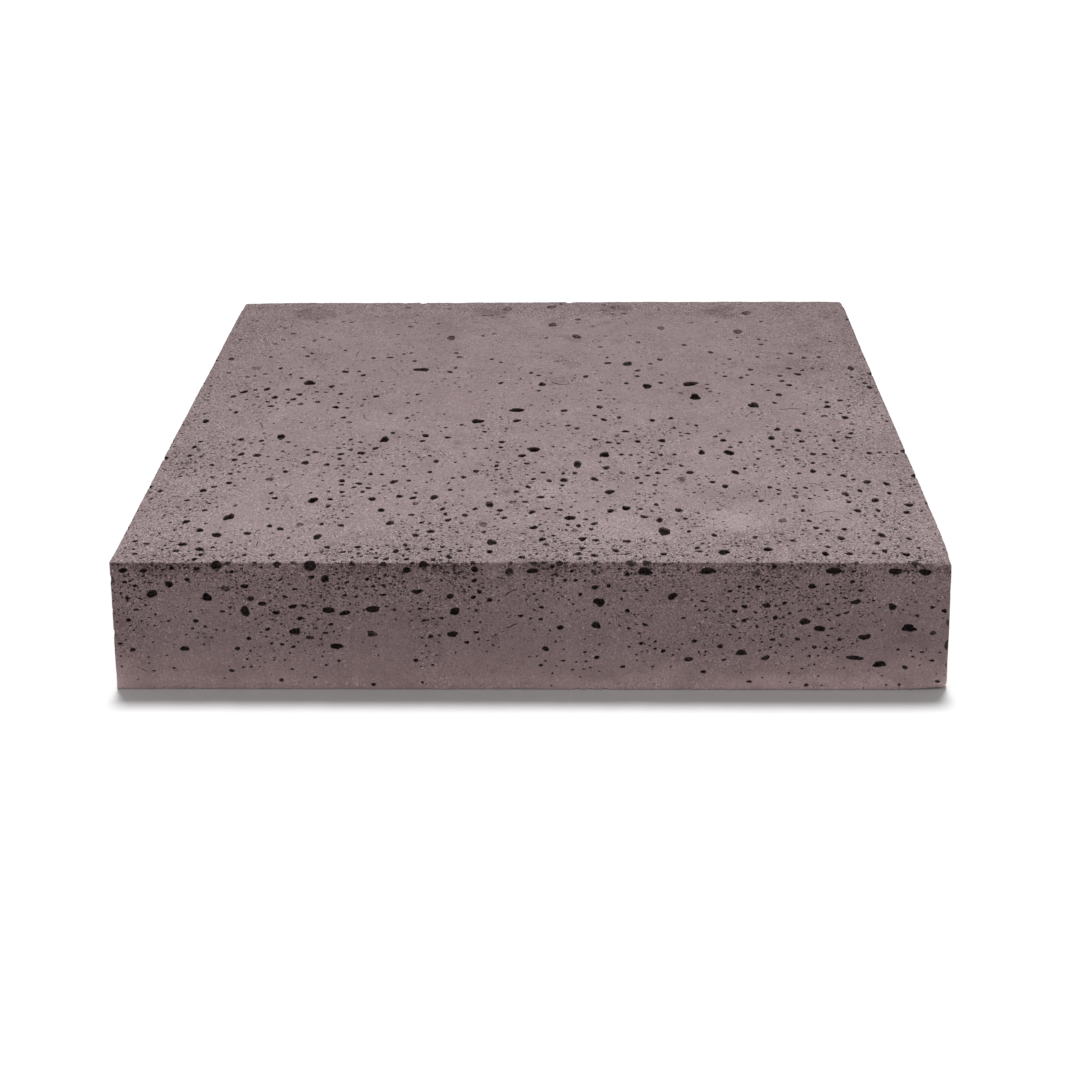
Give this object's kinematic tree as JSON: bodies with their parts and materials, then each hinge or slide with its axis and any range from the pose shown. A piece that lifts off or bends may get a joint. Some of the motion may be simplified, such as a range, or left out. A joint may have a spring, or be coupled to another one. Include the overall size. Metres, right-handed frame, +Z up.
{
  "type": "leather tooling slab",
  "caption": "Thick square slab of pitted mauve-grey stone with a flat top, for tooling and striking leather on.",
  "frame": {"origin": "middle of the underside, the face that lies on the bench", "axes": "+Z up, out of the flat working face; +X to the right; +Y from the front side to the back side"},
  "size_m": [0.3046, 0.3046, 0.0508],
  "materials": {
    "stone": "matte"
  },
  "bodies": {
    "root": {"stone_slab": "stone"}
  },
  "joints": []
}
